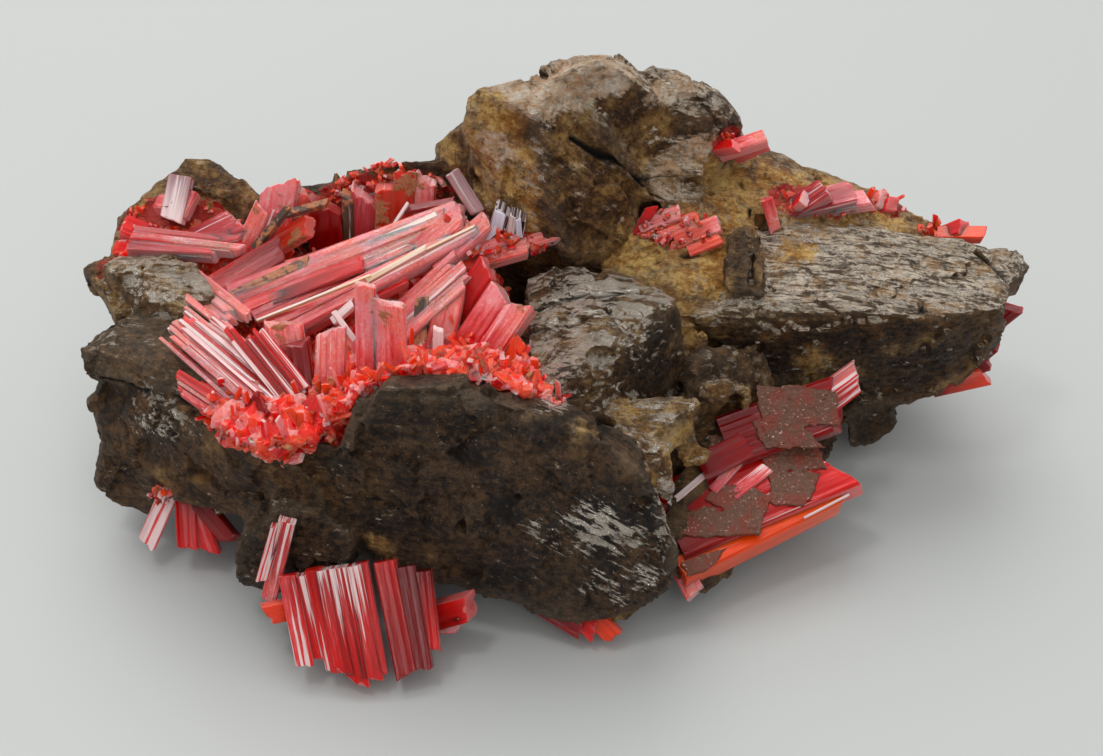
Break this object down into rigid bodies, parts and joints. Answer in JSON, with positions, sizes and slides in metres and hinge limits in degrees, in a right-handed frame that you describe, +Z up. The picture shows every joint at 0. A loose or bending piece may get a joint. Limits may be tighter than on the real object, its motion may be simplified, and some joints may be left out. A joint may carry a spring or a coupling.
{
  "type": "mineral specimen",
  "caption": "Crocoite on matrix: a hand-sized lump of dark oxide rock with a hollow in its top lined with red prisms, and smaller red crystal groups on its sides and underside.",
  "frame": {"origin": "on the surface that the lump lies on, under the middle of its footprint", "axes": "+X along the lump's length, towards its thin pointed end; +Z up; the hollow with the red prisms is on the -X side"},
  "size_m": [0.1126, 0.069, 0.0499],
  "materials": {
    "stone": "rough broken iron and manganese oxide rock, dark brown with ochre patches and silvery glints",
    "crocoite": "glassy orange-red prisms, translucent, pale where light strikes their flat faces",
    "coated_crocoite": "glassy red prisms, their upper faces coated brown and dull mauve",
    "silvery_crocoite": "glassy, silvery pink with dark specks",
    "pale_crocoite": "glassy, pale pink"
  },
  "bodies": {
    "root": {"matrix": "stone", "vug_crystals": "crocoite", "left_ridge_crystals": "crocoite", "rim_crystal": "pale_crocoite", "saddle_crystals": "crocoite", "saddle_sliver": "crocoite", "tower_crystals": "crocoite", "rear_crystals": "crocoite", "rear_edge_crystals": "crocoite", "rear_corner_crystals": "crocoite", "right_end_crystals": "crocoite", "large_crystals": "coated_crocoite", "bottom_crystals": "crocoite", "hanging_crystals": "crocoite", "lower_left_crystals": "crocoite", "silver_crystal": "silvery_crocoite"}
  },
  "joints": []
}
